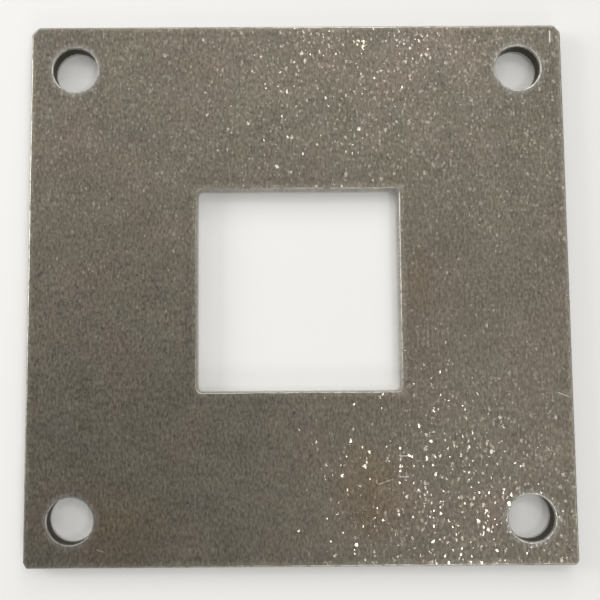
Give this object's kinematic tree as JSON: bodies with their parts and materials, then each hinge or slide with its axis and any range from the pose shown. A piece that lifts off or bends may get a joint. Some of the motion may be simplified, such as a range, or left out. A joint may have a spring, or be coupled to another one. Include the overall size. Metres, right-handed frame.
{
  "type": "cover plate",
  "caption": "Flat square steel plate with a central square opening and a round bolt hole near each corner.",
  "frame": {"origin": "centre of the plate's underside, on the axis of the square opening", "axes": "+Z out of the upper face, +Y along the sheet's rolling direction towards the two larger corner cuts, +X to the right"},
  "size_m": [0.12, 0.12, 0.004],
  "materials": {
    "galvanised_steel": "satin"
  },
  "bodies": {
    "root": {"cover_plate": "galvanised_steel"}
  },
  "joints": []
}
